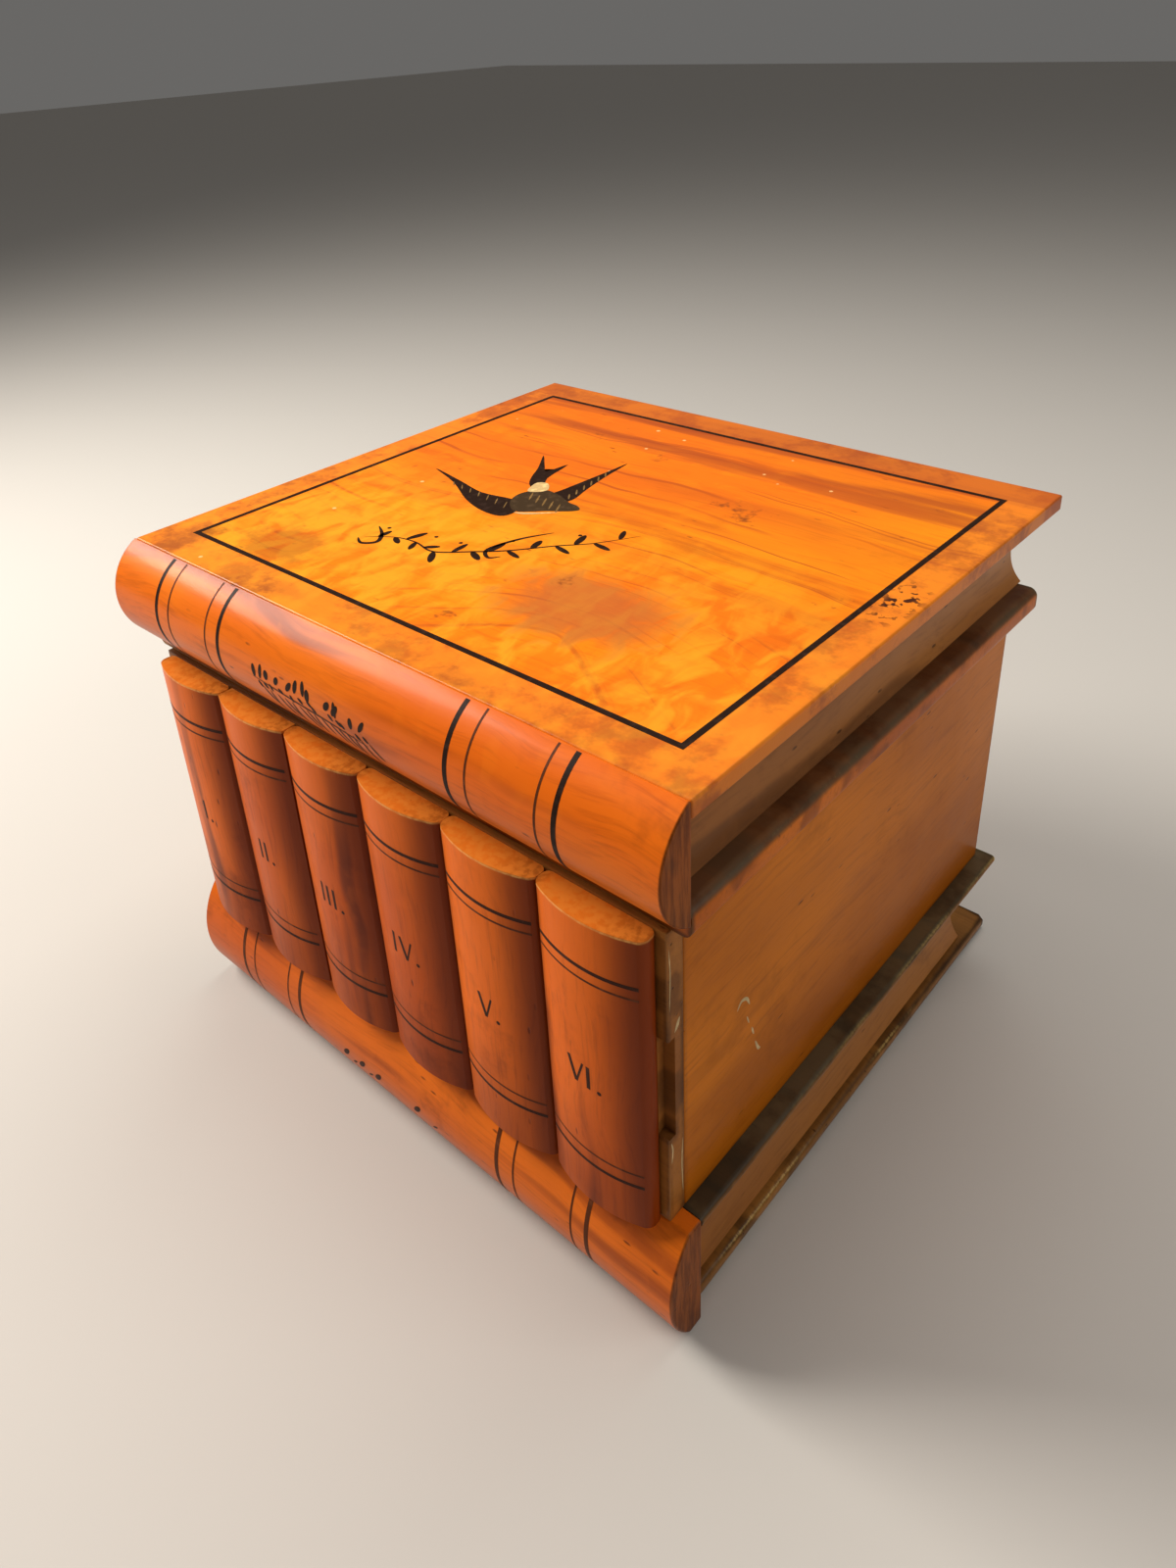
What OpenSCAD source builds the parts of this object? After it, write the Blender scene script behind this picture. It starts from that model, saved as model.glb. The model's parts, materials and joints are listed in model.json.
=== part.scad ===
// Wooden puzzle box in the shape of six books standing between two lying books.
// Origin: middle of the underside. +X right, +Y back, +Z up; the book spines face -Y.

/* [Overall] */
// Width of the lid and base boards
cover_w = 160; // [150:1:175]
// Depth from the front of the lid spine to the back of the top board
overall_d = 152; // [146:1:160]
// Height of the lid
lid_h = 28.2; // [26:0.1:32]
// Height of the case between base and lid
case_h = 73; // [66:0.5:90]
// Height of the base
base_h = 30.8; // [28:0.1:36]

/* [Lid] */
// Thickness of the top board
top_board_t = 3.8; // [3:0.1:5]
// Thickness of the lower board
lower_board_t = 6.4; // [5.5:0.1:8]
// Radius of the rounded lid spine
lid_spine_r = 14; // [13.5:0.1:16]
// Distance of the stringing from the board's side edges
string_inset = 8.8; // [6:0.1:12]
// Width of the dark stringing
string_w = 1.3; // [0.8:0.1:2]

/* [Case] */
// Outer width of the case
case_w = 151.2; // [146:0.1:154]
// Thickness of the side and back walls
wall_t = 6; // [5:0.1:8]
// Thickness of the front board
front_t = 4.5; // [4.5:0.1:6]
// Thickness of the case floor
floor_t = 3; // [2.5:0.1:4]
// Depth of a book spine, from the front board to its crown
book_depth = 6.2; // [5.5:0.1:7]
// Height of the arc of a book spine
book_bulge = 2.7; // [2:0.1:3.4]

/* [Base] */
// Thickness of the base's upper board
base_upper_t = 2.4; // [2:0.1:4]
// Thickness of the base's lower board
base_lower_t = 4; // [3.6:0.1:6]
// Radius of the rounded base spine
base_spine_r = 22.8; // [20:0.1:26]

/* [Hardware] */
// Distance of each hinge's middle from the centre line
hinge_x = 45; // [35:1:52]
// Radius of a hinge pin
pin_r = 0.9; // [0.8:0.05:1.2]
// Outer radius of a hinge knuckle
knuckle_r = 1.7; // [1.6:0.05:2]
// Radial clearance of a running fit
running = 0.05; // [0.02:0.01:0.1]
// Gap around a part that slides
slide_gap = 0.3; // [0.2:0.05:0.5]

/* [Hidden] */
$fn = 96;

// How far a cut runs past the face it opens
past = 1;
far = 400;

// Levels
case_z = base_h;
lid_seat = base_h + case_h;
seat_gap = 0.2;
lid_z = lid_seat + seat_gap;
top_z = base_h + case_h + lid_h;

// Depths, with y measured from the middle of the overall depth
lid_front = -overall_d / 2;
lid_back = overall_d / 2;
lid_spine_t = 8;
lid_spine_drop = 12.4;
board_front = lid_front + lid_spine_t;
lower_board_back = lid_back - 7;
side_wall_l = 129.5;
case_front_y = board_front - 1;
wall_front = case_front_y + front_t;
case_back_y = wall_front + side_wall_l;
base_spine_back = wall_front - 0.5;
base_upper_ledge = 2.4;
base_upper_back = case_back_y + base_upper_ledge;
base_lower_back = lid_back - 3;
base_lower_x = cover_w / 2 - 2.5;
inner_x = case_w / 2 - wall_t;
lining_t = 0.5;
lining_gap = 0.5;

// Worn slot in the right end of the front board
worn_slot_w = 2.5;
worn_slot_t = 1.9;
worn_slot_z = [case_z + 23, case_z + 48];

// Coves that stand for the closed pages
cove_depth = 2.5;
lid_pages_x = 75.3;
lid_pages_back_y = 70.5;
base_pages_x = 75.5;
base_pages_back_y = 61.5;
pages_t = 9;

// Dark stringing
string_depth = 0.9;
string_proud = 0.05;
string_front = board_front + 9.6;
string_back = lid_back - 10.4;

// Drawer in the base
drawer_lift = 0.2;
tray_back_x = 34;
tray_front_x = base_pages_x - pages_t;
tray_half = 30;
tray_wall = 2.4;
tray_floor = 2;
tray_h = base_h - base_upper_t - base_lower_t - 2 * drawer_lift;
drawer_travel = 30;
stop_r = 1.5;
stop_depth = 3;
stop_x = tray_back_x + 31;
runner_w = 5;
key_inset = 12;

// Lock, behind the second book
book_pitch = 24.5;
books_left = -73.2;
lock_x = books_left + 1.5 * book_pitch;
lock_w = 22;
lock_t = 6.4;
lock_h = 26;
lock_back = wall_front + lock_t;
lock_z = lid_seat - lock_h;
lock_shell = 1;
keyhole_z = lock_z + 10;
keyhole_r = 1.9;
keyhole_slot_w = 2;
keyhole_slot_h = 6;
escutcheon_r = 6.4;
escutcheon_t = 0.5;
escutcheon_z = keyhole_z - 2;
bolt_w = 10;
bolt_t = 2.4;
bolt_h = 11;
bolt_y = wall_front + 3.4;
bolt_notch_w = 4;
bolt_notch_h = 2.5;
spring_r = 4.6;
spring_wire = 0.4;
spring_w = 1.6;
spring_z = lock_z + 2.6;
strike_t = 0.8;
screw_r = 0.8;
screw_head_r = 1.5;
screw_head_t = 0.6;
screw_l = 5;
lock_screw_l = lock_t + 3;
lock_screw_x = [-8.5, 8.5];
lock_screw_z = [5, 21];
strike_screw_x = [-8, 8];

// Book pegs
peg_r = 2;
peg_len = 4.2;
peg_seat = 3;
peg_z = [case_z + 14, case_z + 42];

// Hinges
hinge_y = case_back_y + knuckle_r + 0.2;
hinge_z = lid_seat + seat_gap / 2;
leaf_t = 1;
leaf_l = 13;
hinge_w = 24;
middle_w = 9.6;
hinge_sides = [-1, 1];
hinge_screw_x = [-8, 8];
hinge_screw_inset = 8;

bands_colour = "#1c1210";
top_colour = "#c9761c";
spine_colour = "#b8571b";
book_colour = "#9c4a18";
side_colour = "#8f4d14";
lining_colour = "#7a2b23";
page_colour = "#6e4220";
brass_colour = "#b08d46";
steel_colour = "#8d8f93";

// A box given by its two corners
module block(low, high) {
    translate(low) cube(high - low);
}

// A cylinder along X, centred on x
module rod_x(x, y, z, r, length) {
    translate([x - length / 2, y, z]) rotate([0, 90, 0]) cylinder(r = r, h = length);
}

// A cylinder along Y that starts at y and runs back
module rod_y(x, y, z, r, length) {
    translate([x, y, z]) rotate([-90, 0, 0]) cylinder(r = r, h = length);
}

// A cylinder along Z that starts at z and runs up
module rod_z(x, y, z, r, length) {
    translate([x, y, z]) cylinder(r = r, h = length);
}

// A block with hollow edges on its left, right and back, and an open middle
module pages_ring(half_x, front, back, low, high) {
    height = high - low;
    cove_r = (height * height / 4 + cove_depth * cove_depth) / (2 * cove_depth);
    reach = cove_r - cove_depth;
    middle = (low + high) / 2;
    difference() {
        block([-half_x, front, low], [half_x, back, high]);
        block([-half_x + pages_t, front - past, low - past], [half_x - pages_t, back - pages_t, high + past]);
        for (side = [-1, 1])
            rod_y(side * (half_x + reach), front - past, middle, cove_r, back - front + far, $fn = 128);
        rod_x(0, back + reach, middle, cove_r, 2 * half_x + far, $fn = 128);
    }
}

// The part of a pages ring on one side, cut on the mitre; side is -1 for left, 0 for back, 1 for right
module pages_part(half_x, front, back, low, high, side) {
    corner_y = back - half_x;
    intersection() {
        pages_ring(half_x, front, back, low, high);
        translate([0, 0, low - past]) linear_extrude(high - low + 2 * past)
            polygon(side == 0
                ? [[0, corner_y], [far, corner_y + far], [-far, corner_y + far]]
                : [[0, corner_y], [side * far, corner_y + far], [side * far, -far], [0, -far]]);
    }
}

// A flat-headed screw that points along +Z, with its head first
module screw_z(length) {
    rod_z(0, 0, 0, screw_head_r, screw_head_t);
    rod_z(0, 0, 0, screw_r, length);
}

// The hole for such a screw in the plate that it holds
module screw_hole_z() {
    rod_z(0, 0, -past, screw_head_r + running, screw_head_t + past);
    rod_z(0, 0, -past, screw_r + running, far);
}

// The hole in the wood that the screw bites into
module pilot_z(length) {
    rod_z(0, 0, 0, screw_r + running, length + 0.1);
}

// Places in the lock and the hinges that hold a screw
module at_lock_screws() {
    for (x = lock_screw_x, z = lock_screw_z)
        translate([lock_x + x, lock_back, lock_z + z]) rotate([90, 0, 0]) children();
}

module at_strike_screws() {
    for (x = strike_screw_x)
        translate([lock_x + x, bolt_y, lid_z]) children();
}

module at_case_hinge_screws() {
    for (side = hinge_sides, x = hinge_screw_x)
        translate([side * hinge_x + x, case_back_y, lid_seat - hinge_screw_inset])
            rotate([90, 0, 0]) children();
}

module at_lid_hinge_screws() {
    for (side = hinge_sides, x = hinge_screw_x)
        translate([side * hinge_x + x, case_back_y - hinge_screw_inset, lid_z]) children();
}

// ---- Base ----

module base_lower_board() {
    color(side_colour) difference() {
        block([-base_lower_x, base_spine_back, 0], [base_lower_x, base_lower_back, base_lower_t]);
        rod_z(stop_x, 0, base_lower_t - stop_depth, stop_r, stop_depth + past);
    }
}

module base_upper_board() {
    color(side_colour) block([-cover_w / 2, base_spine_back, base_h - base_upper_t],
        [cover_w / 2, base_upper_back, base_h]);
}

module base_spine() {
    sag = base_spine_r - sqrt(base_spine_r * base_spine_r - base_h * base_h / 4);
    centre_y = case_front_y - sag + base_spine_r;
    color(spine_colour) intersection() {
        rod_x(0, centre_y, base_h / 2, base_spine_r, cover_w, $fn = 180);
        block([-cover_w / 2, -far, 0], [cover_w / 2, base_spine_back, base_h]);
    }
}

module base_pages(side) {
    gap = side == 1 ? drawer_lift : 0;
    color(page_colour) pages_part(base_pages_x, base_spine_back + gap, base_pages_back_y,
        base_lower_t + gap, base_h - base_upper_t - gap, side);
}

module base_pages_left() { base_pages(-1); }
module base_pages_back() { base_pages(0); }

module drawer_runners() {
    middle_y = tray_half + slide_gap + runner_w / 2;
    color(page_colour) for (side = [-1, 1])
        block([tray_back_x - 6, side * middle_y - runner_w / 2, base_lower_t],
            [tray_front_x - 1, side * middle_y + runner_w / 2, base_h - base_upper_t]);
}

module drawer_stop_peg() {
    color(page_colour) rod_z(stop_x, 0, base_lower_t - stop_depth, stop_r,
        stop_depth + drawer_lift + tray_floor - 0.2);
}

// Stops short of the mitre by a gap, so that it slides past the back strip
module drawer_front() {
    corner_y = base_pages_back_y - base_pages_x - drawer_lift;
    color(page_colour) difference() {
        base_pages(1);
        linear_extrude(base_h)
            polygon([[0, corner_y], [far, corner_y + far], [far, far * 2], [0, far * 2]]);
    }
}

module drawer_tray() {
    low = base_lower_t + drawer_lift;
    slot_r = stop_r + slide_gap;
    color(page_colour) difference() {
        block([tray_back_x, -tray_half, low], [tray_front_x, tray_half, low + tray_h]);
        block([tray_back_x + tray_wall, -tray_half + tray_wall, low + tray_floor],
            [tray_front_x + past, tray_half - tray_wall, low + tray_h + past]);
        for (x = [stop_x - drawer_travel, stop_x])
            rod_z(x, 0, low - past, slot_r, tray_floor + 2 * past);
        block([stop_x - drawer_travel, -slot_r, low - past], [stop_x, slot_r, low + tray_floor + past]);
    }
}

// Bit key lying on the drawer floor, its shank along Y
module key() {
    shank_r = 1.4;
    shank_l = 30;
    bow_r = 8;
    bow_hole_r = 4.8;
    bow_t = 2;
    bow_y = -14;
    collar_y = -6;
    collar_r = 2;
    bit_w = 6.4;
    bit_t = 1.4;
    bit_y = [13, 18];
    low = base_lower_t + drawer_lift + tray_floor;
    color(steel_colour) translate([tray_front_x - key_inset, 0, low + shank_r]) union() {
        difference() {
            rod_z(0, bow_y, -bow_t / 2, bow_r, bow_t);
            rod_z(0, bow_y, -bow_t, bow_hole_r, 2 * bow_t);
        }
        rod_y(0, bow_y + bow_hole_r + 0.5, 0, shank_r, shank_l);
        translate([0, collar_y, 0]) scale([1, 1, shank_r / collar_r]) rod_y(0, 0, 0, collar_r, collar_r);
        block([0, bit_y[0], -bit_t / 2], [bit_w, bit_y[1], bit_t / 2]);
    }
}

// ---- Case ----

module case_floor() {
    color(side_colour) block([-inner_x, wall_front, case_z],
        [inner_x, case_back_y - wall_t, case_z + floor_t]);
}

module case_side(side) {
    low_x = side > 0 ? inner_x : -case_w / 2;
    color(side_colour) block([low_x, wall_front, case_z], [low_x + wall_t, case_back_y, lid_seat]);
}

module case_left() { case_side(-1); }
module case_right() { case_side(1); }

module case_back() {
    color(side_colour) difference() {
        block([-inner_x, case_back_y - wall_t, case_z], [inner_x, case_back_y, lid_seat]);
        for (side = hinge_sides)
            block([side * hinge_x - hinge_w / 2 - 0.1, case_back_y - leaf_t, lid_seat - leaf_l],
                [side * hinge_x + hinge_w / 2 + 0.1, case_back_y + past, lid_seat + past]);
        at_case_hinge_screws() pilot_z(screw_l);
    }
}

// A keyhole from y0 to y1, round on top with a slot below
module keyhole(y0, y1) {
    rod_y(lock_x, y0, keyhole_z, keyhole_r, y1 - y0);
    block([lock_x - keyhole_slot_w / 2, y0, keyhole_z - keyhole_slot_h],
        [lock_x + keyhole_slot_w / 2, y1, keyhole_z]);
}

module case_front() {
    color(book_colour) difference() {
        block([-case_w / 2, case_front_y, case_z], [case_w / 2, wall_front, lid_seat]);
        keyhole(case_front_y - past, wall_front + past);
        rod_y(lock_x, case_front_y - past, escutcheon_z, escutcheon_r + 0.1, escutcheon_t + 0.1 + past);
        for (z = peg_z) rod_y(lock_x, case_front_y - past, z, peg_r + running, front_t + 2 * past);
        at_lock_screws() pilot_z(lock_screw_l);
        block([case_w / 2 - worn_slot_w, case_front_y - past, worn_slot_z[0]],
            [case_w / 2 + past, case_front_y + worn_slot_t, worn_slot_z[1]]);
    }
}

module floor_lining() {
    color(lining_colour) block([-inner_x + lining_gap, wall_front + lining_gap, case_z + floor_t],
        [inner_x - lining_gap, case_back_y - wall_t - lining_gap, case_z + floor_t + lining_t]);
}

// One false book: a flat-backed strip with a rounded front
module book(index) {
    loose = index == 1;
    side_gap = loose ? slide_gap : 0.05;
    low = case_z + (loose ? slide_gap : 0);
    high = lid_seat - 0.5;
    x0 = books_left + index * book_pitch + side_gap;
    x1 = x0 + book_pitch - 2 * side_gap;
    half = book_pitch / 2;
    arc_r = (half * half + book_bulge * book_bulge) / (2 * book_bulge);
    centre_x = books_left + (index + 0.5) * book_pitch;
    centre_y = case_front_y - book_depth + arc_r;
    color(book_colour) intersection() {
        block([x0, -far, low], [x1, case_front_y, high]);
        rod_z(centre_x, centre_y, low - past, arc_r, high - low + 2 * past, $fn = 256);
    }
}

module book_1() { book(0); }
module book_2() {
    difference() {
        book(1);
        for (z = peg_z) rod_y(lock_x, case_front_y - peg_seat, z, peg_r, peg_seat + past);
    }
}
module book_3() { book(2); }
module book_4() { book(3); }
module book_5() { book(4); }
module book_6() { book(5); }

module book_pegs() {
    color(page_colour) for (z = peg_z)
        rod_y(lock_x, case_front_y - peg_seat, z, peg_r, peg_seat + peg_len);
}

// ---- Lock ----

module lock_case() {
    pocket_x = bolt_w / 2 + slide_gap;
    slot_y = (bolt_t + slide_gap) / 2;
    color(brass_colour) difference() {
        block([lock_x - lock_w / 2, wall_front, lock_z],
            [lock_x + lock_w / 2, lock_back - lock_shell, lid_seat]);
        block([lock_x - pocket_x, wall_front + lock_shell, lock_z + lock_shell],
            [lock_x + pocket_x, lock_back, lid_seat - lock_shell]);
        block([lock_x - pocket_x, bolt_y - slot_y, lid_seat - 2 * lock_shell],
            [lock_x + pocket_x, bolt_y + slot_y, lid_seat + past]);
        keyhole(wall_front - past, wall_front + lock_shell + past);
        at_lock_screws() rod_z(0, 0, 0, screw_r + running, far);
    }
}

module lock_cap() {
    color(brass_colour) difference() {
        block([lock_x - lock_w / 2, lock_back - lock_shell, lock_z],
            [lock_x + lock_w / 2, lock_back, lid_seat]);
        at_lock_screws() screw_hole_z();
    }
}

// The pin that a pipe key turns on
module lock_pin() {
    pin_front = wall_front + 1.2;
    color(steel_colour) rod_y(lock_x, pin_front, keyhole_z, 0.8, lock_back - lock_shell - pin_front);
}

// Plate bolt with a notch in its foot for the key's bit
module lock_bolt() {
    color(steel_colour) difference() {
        block([lock_x - bolt_w / 2, bolt_y - bolt_t / 2, lid_seat - bolt_h],
            [lock_x + bolt_w / 2, bolt_y + bolt_t / 2, lid_seat - 0.1]);
        block([lock_x - bolt_notch_w / 2, bolt_y - bolt_t, lid_seat - bolt_h - past],
            [lock_x + bolt_notch_w / 2, bolt_y + bolt_t, lid_seat - bolt_h + bolt_notch_h]);
    }
}

// A bent strip under the bolt, cut off at the floor of the lock case
module lock_spring() {
    color(steel_colour) difference() {
        rod_y(lock_x, bolt_y - spring_w / 2, spring_z, spring_r, spring_w);
        rod_y(lock_x, bolt_y - spring_w, spring_z, spring_r - spring_wire, 2 * spring_w);
        block([lock_x - far, bolt_y - far, lock_z - far],
            [lock_x + far, bolt_y + far, lock_z + lock_shell + 0.1]);
    }
}

module lock_screws() {
    color(brass_colour) at_lock_screws() screw_z(lock_screw_l);
}

module escutcheon() {
    color(brass_colour) difference() {
        rod_y(lock_x, case_front_y, escutcheon_z, escutcheon_r, escutcheon_t);
        keyhole(case_front_y - past, case_front_y + past);
    }
}

// ---- Hinges ----

// One knuckle with its web; up is 1 for the lid's and -1 for the case's
module knuckle(x, width, up) {
    bore = up > 0 ? pin_r + running : pin_r;
    leaf_z = up > 0 ? lid_z : lid_seat - leaf_t;
    difference() {
        union() {
            rod_x(x, hinge_y, hinge_z, knuckle_r, width);
            block([x - width / 2, case_back_y - leaf_t, leaf_z], [x + width / 2, hinge_y, leaf_z + leaf_t]);
        }
        rod_x(x, hinge_y, hinge_z, bore, width + past);
    }
}

module hinge_case_leaves() {
    end_w = (hinge_w - middle_w) / 2 - 0.2;
    color(brass_colour) for (side = hinge_sides) union() {
        difference() {
            block([side * hinge_x - hinge_w / 2, case_back_y - leaf_t, lid_seat - leaf_l + 0.1],
                [side * hinge_x + hinge_w / 2, case_back_y, lid_seat]);
            at_case_hinge_screws() screw_hole_z();
        }
        for (end = [-1, 1])
            knuckle(side * hinge_x + end * (hinge_w - end_w) / 2, end_w, -1);
    }
}

module hinge_case_screws() {
    color(brass_colour) at_case_hinge_screws() screw_z(screw_l);
}

module hinge_pins() {
    color(steel_colour) for (side = hinge_sides)
        rod_x(side * hinge_x, hinge_y, hinge_z, pin_r, hinge_w);
}

module hinge_lid_leaves() {
    color(brass_colour) for (side = hinge_sides) union() {
        difference() {
            block([side * hinge_x - hinge_w / 2, case_back_y - leaf_l, lid_z],
                [side * hinge_x + hinge_w / 2, case_back_y - 0.4, lid_z + leaf_t]);
            at_lid_hinge_screws() screw_hole_z();
        }
        knuckle(side * hinge_x, middle_w, 1);
    }
}

module hinge_lid_screws() {
    color(brass_colour) at_lid_hinge_screws() screw_z(screw_l);
}

// ---- Lid ----

// Rectangle of stringing, drawn as four strips that meet at the corners
module string_frame(depth, proud) {
    x = cover_w / 2 - string_inset;
    difference() {
        block([-x, string_front, top_z - depth], [x, string_back, top_z + proud]);
        block([-x + string_w, string_front + string_w, top_z - depth - past],
            [x - string_w, string_back - string_w, top_z + proud + past]);
    }
}

module lid_top_board() {
    color(top_colour) difference() {
        block([-cover_w / 2, board_front, top_z - top_board_t], [cover_w / 2, lid_back, top_z]);
        string_frame(string_depth, past);
    }
}

module lid_stringing() {
    color(bands_colour) string_frame(string_depth, string_proud);
}

module lid_spine() {
    centre_y = lid_front + lid_spine_r;
    centre_z = top_z - lid_spine_drop;
    color(spine_colour) intersection() {
        rod_x(0, centre_y, centre_z, lid_spine_r, cover_w, $fn = 180);
        block([-cover_w / 2, -far, lid_z], [cover_w / 2, board_front, top_z]);
    }
}

module lid_lower_board() {
    pocket_x = hinge_w / 2 + 0.1;
    knuckle_x = hinge_w / 2 + 0.4;
    mortise = 0.6;
    color(side_colour) difference() {
        block([-cover_w / 2, board_front, lid_z], [cover_w / 2, lower_board_back, lid_z + lower_board_t]);
        // hinge leaves and knuckles
        for (side = hinge_sides) {
            block([side * hinge_x - pocket_x, case_back_y - leaf_l - 0.1, lid_z - past],
                [side * hinge_x + pocket_x, case_back_y, lid_z + leaf_t]);
            block([side * hinge_x - knuckle_x, case_back_y - 0.3, lid_z - past],
                [side * hinge_x + knuckle_x, lower_board_back + past, hinge_z + knuckle_r + 0.5]);
        }
        at_lid_hinge_screws() pilot_z(screw_l);
        // strike plate and the bolt's mortise
        block([lock_x - lock_w / 2, wall_front + 0.2, lid_z - past],
            [lock_x + lock_w / 2, lock_back, lid_z + strike_t]);
        block([lock_x - bolt_w / 2 - mortise, bolt_y - bolt_t / 2 - mortise, lid_z - past],
            [lock_x + bolt_w / 2 + mortise, bolt_y + bolt_t / 2 + mortise, lid_z + 4.4]);
        at_strike_screws() pilot_z(screw_l);
    }
}

module lid_pages(side) {
    color(page_colour) pages_part(lid_pages_x, board_front, lid_pages_back_y,
        lid_z + lower_board_t, top_z - top_board_t, side);
}

module lid_pages_left() { lid_pages(-1); }
module lid_pages_right() { lid_pages(1); }
module lid_pages_back() { lid_pages(0); }

module lid_lining() {
    lining_front = wall_front + 9;
    lining_back = case_back_y - leaf_l - 4;
    color(lining_colour) block([-inner_x + 2, lining_front, lid_z - 0.4], [inner_x - 2, lining_back, lid_z]);
}

module strike_plate() {
    window = 0.4;
    color(brass_colour) difference() {
        block([lock_x - lock_w / 2 + 0.1, wall_front + 0.3, lid_z],
            [lock_x + lock_w / 2 - 0.1, lock_back - 0.1, lid_z + strike_t]);
        block([lock_x - bolt_w / 2 - window, bolt_y - bolt_t / 2 - window, lid_z - past],
            [lock_x + bolt_w / 2 + window, bolt_y + bolt_t / 2 + window, lid_z + strike_t + past]);
        at_strike_screws() screw_hole_z();
    }
}

module strike_screws() {
    color(brass_colour) at_strike_screws() screw_z(screw_l);
}

base_lower_board();
base_upper_board();
base_spine();
base_pages_left();
base_pages_back();
drawer_runners();
drawer_stop_peg();
drawer_front();
drawer_tray();
key();
case_floor();
case_left();
case_right();
case_back();
case_front();
floor_lining();
book_1();
book_2();
book_3();
book_4();
book_5();
book_6();
book_pegs();
lock_case();
lock_cap();
lock_pin();
lock_bolt();
lock_spring();
lock_screws();
escutcheon();
hinge_case_leaves();
hinge_case_screws();
hinge_pins();
hinge_lid_leaves();
hinge_lid_screws();
lid_top_board();
lid_lower_board();
lid_spine();
lid_pages_left();
lid_pages_right();
lid_pages_back();
lid_stringing();
lid_lining();
strike_plate();
strike_screws();
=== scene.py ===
"""Looks for the wooden puzzle box: six standing books between two lying books.

Lengths are in metres, but painted shapes are drawn in millimetres. The CAD frame gives every
place. Colours are linear red, green and blue.
"""
import json
import math
import random

import bmesh
import bpy
from mathutils import Matrix, Vector


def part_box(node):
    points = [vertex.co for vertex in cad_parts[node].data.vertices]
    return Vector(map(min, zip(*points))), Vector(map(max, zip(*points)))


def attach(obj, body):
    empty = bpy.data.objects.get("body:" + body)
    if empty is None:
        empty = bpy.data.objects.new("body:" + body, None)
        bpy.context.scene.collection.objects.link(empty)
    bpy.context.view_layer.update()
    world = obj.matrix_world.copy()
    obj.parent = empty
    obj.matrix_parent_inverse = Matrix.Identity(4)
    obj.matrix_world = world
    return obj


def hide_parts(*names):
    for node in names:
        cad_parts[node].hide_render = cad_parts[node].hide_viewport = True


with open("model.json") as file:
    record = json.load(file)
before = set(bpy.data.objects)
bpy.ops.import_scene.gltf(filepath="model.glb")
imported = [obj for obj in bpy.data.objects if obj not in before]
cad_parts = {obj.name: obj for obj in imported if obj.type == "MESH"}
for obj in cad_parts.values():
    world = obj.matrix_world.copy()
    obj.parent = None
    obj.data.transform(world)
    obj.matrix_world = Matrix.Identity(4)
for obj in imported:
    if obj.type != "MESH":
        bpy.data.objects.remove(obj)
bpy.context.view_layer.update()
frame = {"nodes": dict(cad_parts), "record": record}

MM = 0.001

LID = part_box("lid_top_board")
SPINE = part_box("lid_spine")
BASE_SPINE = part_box("base_spine")
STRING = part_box("lid_stringing")
TOP_Z = LID[1][2]

# Each spine is round about an axis along x: its radius, and the axis as (y, z)
LID_SPINE_R = 14 * MM
LID_SPINE_DROP = 12.4 * MM
LID_SPINE_AXIS = (SPINE[0][1] + LID_SPINE_R, TOP_Z - LID_SPINE_DROP)
BASE_SPINE_R = 22.8 * MM
BASE_SPINE_AXIS = (BASE_SPINE[0][1] + BASE_SPINE_R, (BASE_SPINE[0][2] + BASE_SPINE[1][2]) / 2)


# ---------------------------------------------------------------- camera

# Heading, downward tilt and roll, in radians
YAW = -0.73933
PITCH = 0.47309
ROLL = -0.04854
CAMERA_AT = Vector((160.99, -177.34, 237.53)) * MM
# Focal length and sensor width, in the millimetres that Blender's camera uses
LENS = 34.84
SENSOR = 36.0
# Shifts the view by a sixth of the picture's width, to frame the box
SHIFT_Y = -200 / 1200
# Nothing nearer to the camera than this is drawn
NEAREST_SEEN = 5 * MM


def add_camera():
    """A camera in front of the box, to its right and above, that looks down at it."""
    forward = Vector((math.sin(YAW) * math.cos(PITCH), math.cos(YAW) * math.cos(PITCH), -math.sin(PITCH)))
    level_right = Vector((math.cos(YAW), -math.sin(YAW), 0))
    level_up = level_right.cross(forward)
    right = math.cos(ROLL) * level_right + math.sin(ROLL) * level_up
    up = -math.sin(ROLL) * level_right + math.cos(ROLL) * level_up
    data = bpy.data.cameras.new("camera")
    data.lens = LENS
    data.sensor_width = SENSOR
    data.sensor_fit = "HORIZONTAL"
    data.shift_y = SHIFT_Y
    data.clip_start = NEAREST_SEEN
    camera = bpy.data.objects.new("camera", data)
    axes = Matrix((right, up, -forward)).transposed().to_4x4()
    camera.matrix_world = Matrix.Translation(CAMERA_AT) @ axes
    bpy.context.scene.collection.objects.link(camera)
    bpy.context.scene.camera = camera


# ---------------------------------------------------------------- node helpers

# Low reflection, so that the pale floor doesn't lie over the wood as a veil
SPECULAR_LEVEL = 0.07
COAT_IOR = 1.3
COAT_ROUGHNESS = 0.16


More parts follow.
